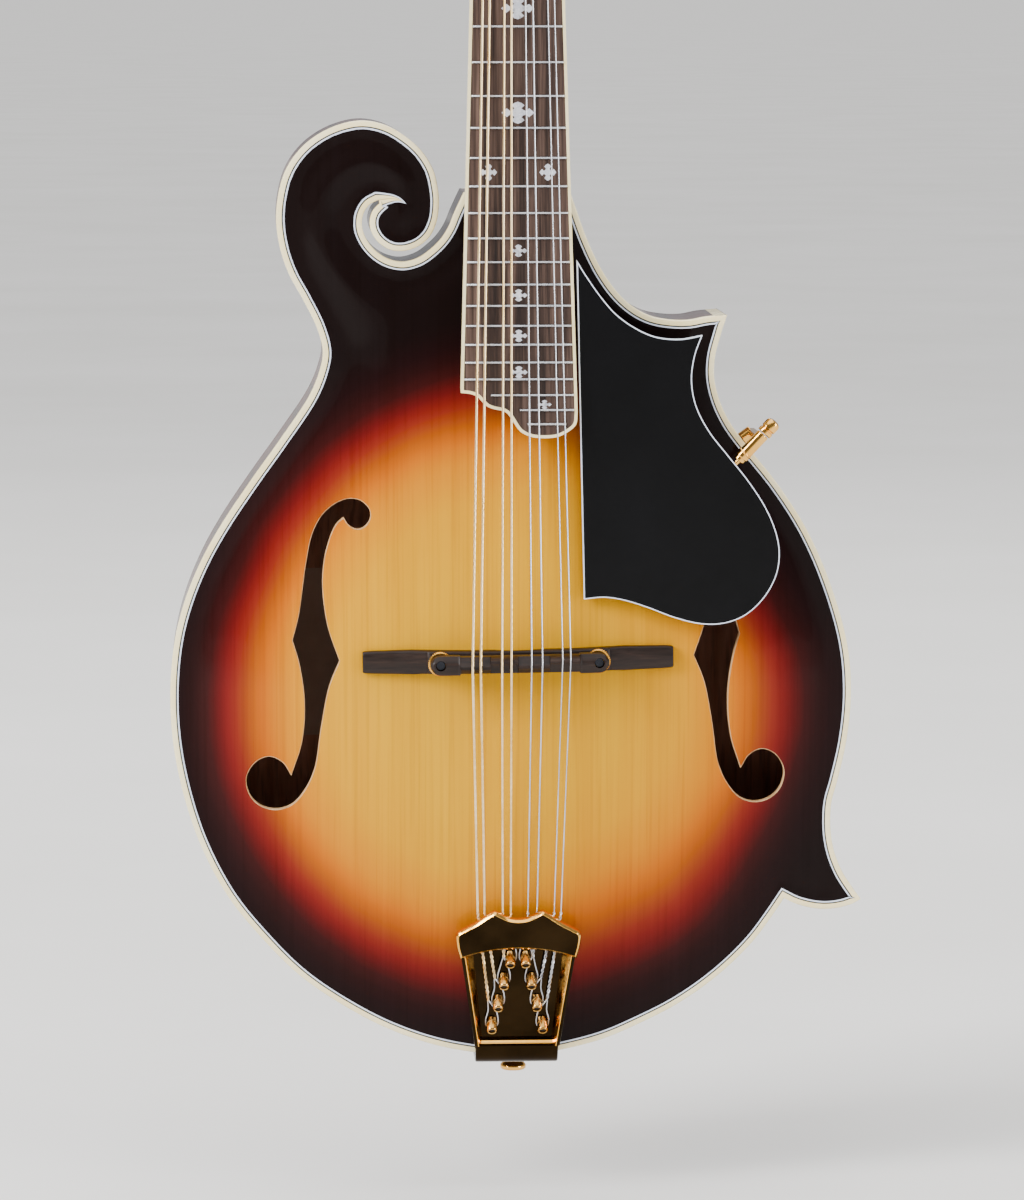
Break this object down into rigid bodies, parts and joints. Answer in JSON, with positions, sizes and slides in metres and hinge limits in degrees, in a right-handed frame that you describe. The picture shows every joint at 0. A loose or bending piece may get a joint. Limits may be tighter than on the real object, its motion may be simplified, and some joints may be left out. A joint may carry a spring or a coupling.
{
  "type": "mandolin",
  "caption": "Carved-top mandolin with a scrolled body, f-holes, a floating adjustable bridge, a cast tailpiece, a raised pickguard and worm-gear tuners.",
  "frame": {"origin": "centre of the nut's edge that the strings leave from, on the neck's centre line, in the plane of the top's edge; the yoke of a wall hanger carries the headstock just above it", "axes": "+Z along the neck towards the headstock, -Y out of the top, +X towards the treble side"},
  "size_m": [0.2614, 0.0893, 0.6806],
  "materials": {
    "spruce_top": "clear gloss lacquer over a honey to dark red sunburst",
    "maple_back": "clear gloss lacquer over a dark sunburst",
    "maple_sides": "clear gloss lacquer over dark red-brown stain",
    "maple_neck": "clear gloss lacquer over dark red-brown stain",
    "bare_wood": "bare, sanded",
    "cream_binding": "polished, under lacquer",
    "rosewood_board": "oiled",
    "ebony": "polished",
    "bridge_wood": "oiled",
    "bone": "polished bone",
    "ivoroid": "pearloid, polished",
    "gold": "gold plated, polished",
    "brass": "turned",
    "steel": "plain steel",
    "plain_string": "plain steel wire",
    "wound_string": "bronze wound",
    "guard_black": "polished"
  },
  "bodies": {
    "instrument": {"top_plate": "spruce_top", "back_plate": "maple_back", "bass_rib": "maple_sides", "treble_lower_rib": "maple_sides", "treble_waist_rib": "maple_sides", "treble_upper_rib": "maple_sides", "neck": "maple_neck", "head_block": "bare_wood", "tail_block": "bare_wood", "upper_point_block": "bare_wood", "lower_point_block": "bare_wood", "bass_tone_bar": "bare_wood", "treble_tone_bar": "bare_wood", "top_binding": "cream_binding", "back_binding": "cream_binding", "fingerboard_binding": "cream_binding", "fingerboard": "rosewood_board", "headstock_overlay": "ebony", "truss_rod_cover": "ebony", "bridge_base": "bridge_wood", "nut": "bone", "tailpiece": "gold", "strap_button": "gold", "pickguard_bracket": "gold", "bass_tuner_plate": "gold", "treble_tuner_plate": "gold", "bass_bridge_post": "steel", "treble_bridge_post": "steel", "truss_rod": "steel", "string_1": "wound_string", "string_2": "wound_string", "string_3": "wound_string", "string_4": "wound_string", "string_5": "plain_string", "string_6": "plain_string", "string_7": "plain_string", "string_8": "plain_string", "pickguard": "guard_black"},
    "saddle": {"bridge_saddle": "bridge_wood"},
    "bass_wheel": {"bass_thumbwheel": "gold"},
    "treble_wheel": {"treble_thumbwheel": "gold"},
    "rod_nut": {"truss_rod_nut": "brass"},
    "clamp_nut": {"pickguard_clamp_nut": "gold"},
    "post_1": {"string_post_1": "gold"},
    "key_1": {"tuner_button_1": "ivoroid"},
    "post_2": {"string_post_2": "gold"},
    "key_2": {"tuner_button_2": "ivoroid"},
    "post_3": {"string_post_3": "gold"},
    "key_3": {"tuner_button_3": "ivoroid"},
    "post_4": {"string_post_4": "gold"},
    "key_4": {"tuner_button_4": "ivoroid"},
    "post_5": {"string_post_5": "gold"},
    "key_5": {"tuner_button_5": "ivoroid"},
    "post_6": {"string_post_6": "gold"},
    "key_6": {"tuner_button_6": "ivoroid"},
    "post_7": {"string_post_7": "gold"},
    "key_7": {"tuner_button_7": "ivoroid"},
    "post_8": {"string_post_8": "gold"},
    "key_8": {"tuner_button_8": "ivoroid"}
  },
  "joints": [
    {"name": "saddle_height", "type": "slide", "parent": "instrument", "child": "saddle", "axis": [0, -1, 0], "range_m": [-0.0016, 0]},
    {"name": "bass_wheel_turn", "type": "hinge", "parent": "saddle", "child": "bass_wheel", "pos_m": [-0.0295, -0.0232, -0.35279], "axis": [0, -1, 0], "range_deg": [-721, 0]},
    {"name": "treble_wheel_turn", "type": "hinge", "parent": "saddle", "child": "treble_wheel", "pos_m": [0.0295, -0.0232, -0.35201], "axis": [0, -1, 0], "range_deg": [-721, 0]},
    {"name": "key_1_turn", "type": "hinge", "parent": "instrument", "child": "key_1", "pos_m": [0, 0.02518, 0.02534], "axis": [1, 0, 0], "continuous": true},
    {"name": "post_1_turn", "type": "hinge", "parent": "instrument", "child": "post_1", "pos_m": [-0.017, 0.01123, 0.03799], "axis": [0, -0.9703, 0.2419], "continuous": true},
    {"name": "key_2_turn", "type": "hinge", "parent": "instrument", "child": "key_2", "pos_m": [0, 0.03074, 0.04766], "axis": [1, 0, 0], "continuous": true},
    {"name": "post_2_turn", "type": "hinge", "parent": "instrument", "child": "post_2", "pos_m": [-0.017, 0.01679, 0.06031], "axis": [0, -0.9703, 0.2419], "continuous": true},
    {"name": "key_3_turn", "type": "hinge", "parent": "instrument", "child": "key_3", "pos_m": [0, 0.03631, 0.06997], "axis": [1, 0, 0], "continuous": true},
    {"name": "post_3_turn", "type": "hinge", "parent": "instrument", "child": "post_3", "pos_m": [-0.017, 0.02235, 0.08262], "axis": [0, -0.9703, 0.2419], "continuous": true},
    {"name": "key_4_turn", "type": "hinge", "parent": "instrument", "child": "key_4", "pos_m": [0, 0.04187, 0.09229], "axis": [1, 0, 0], "continuous": true},
    {"name": "post_4_turn", "type": "hinge", "parent": "instrument", "child": "post_4", "pos_m": [-0.017, 0.02792, 0.10494], "axis": [0, -0.9703, 0.2419], "continuous": true},
    {"name": "key_5_turn", "type": "hinge", "parent": "instrument", "child": "key_5", "pos_m": [0, 0.04187, 0.09229], "axis": [1, 0, 0], "continuous": true},
    {"name": "post_5_turn", "type": "hinge", "parent": "instrument", "child": "post_5", "pos_m": [0.017, 0.02792, 0.10494], "axis": [0, -0.9703, 0.2419], "continuous": true},
    {"name": "key_6_turn", "type": "hinge", "parent": "instrument", "child": "key_6", "pos_m": [0, 0.03631, 0.06997], "axis": [1, 0, 0], "continuous": true},
    {"name": "post_6_turn", "type": "hinge", "parent": "instrument", "child": "post_6", "pos_m": [0.017, 0.02235, 0.08262], "axis": [0, -0.9703, 0.2419], "continuous": true},
    {"name": "key_7_turn", "type": "hinge", "parent": "instrument", "child": "key_7", "pos_m": [0, 0.03074, 0.04766], "axis": [1, 0, 0], "continuous": true},
    {"name": "post_7_turn", "type": "hinge", "parent": "instrument", "child": "post_7", "pos_m": [0.017, 0.01679, 0.06031], "axis": [0, -0.9703, 0.2419], "continuous": true},
    {"name": "key_8_turn", "type": "hinge", "parent": "instrument", "child": "key_8", "pos_m": [0, 0.02518, 0.02534], "axis": [1, 0, 0], "continuous": true},
    {"name": "post_8_turn", "type": "hinge", "parent": "instrument", "child": "post_8", "pos_m": [0.017, 0.01123, 0.03799], "axis": [0, -0.9703, 0.2419], "continuous": true},
    {"name": "rod_nut_turn", "type": "hinge", "parent": "instrument", "child": "rod_nut", "pos_m": [0, 0.00769, 0.00934], "axis": [0, 0.0708, 0.9975], "range_deg": [-180, 180]},
    {"name": "clamp_nut_turn", "type": "hinge", "parent": "instrument", "child": "clamp_nut", "pos_m": [0.0919, -0.0133, -0.2681], "axis": [0.6883, 0, 0.7255], "range_deg": [-180, 180]}
  ],
  "couplings": [
    {"joint": "bass_wheel_turn", "follows": "saddle_height", "rad_per_m": 7854},
    {"joint": "treble_wheel_turn", "follows": "saddle_height", "rad_per_m": 7854},
    {"joint": "post_1_turn", "follows": "key_1_turn", "ratio": -0.0625},
    {"joint": "post_2_turn", "follows": "key_2_turn", "ratio": -0.0625},
    {"joint": "post_3_turn", "follows": "key_3_turn", "ratio": -0.0625},
    {"joint": "post_4_turn", "follows": "key_4_turn", "ratio": -0.0625},
    {"joint": "post_5_turn", "follows": "key_5_turn", "ratio": -0.0625},
    {"joint": "post_6_turn", "follows": "key_6_turn", "ratio": -0.0625},
    {"joint": "post_7_turn", "follows": "key_7_turn", "ratio": -0.0625},
    {"joint": "post_8_turn", "follows": "key_8_turn", "ratio": -0.0625}
  ]
}
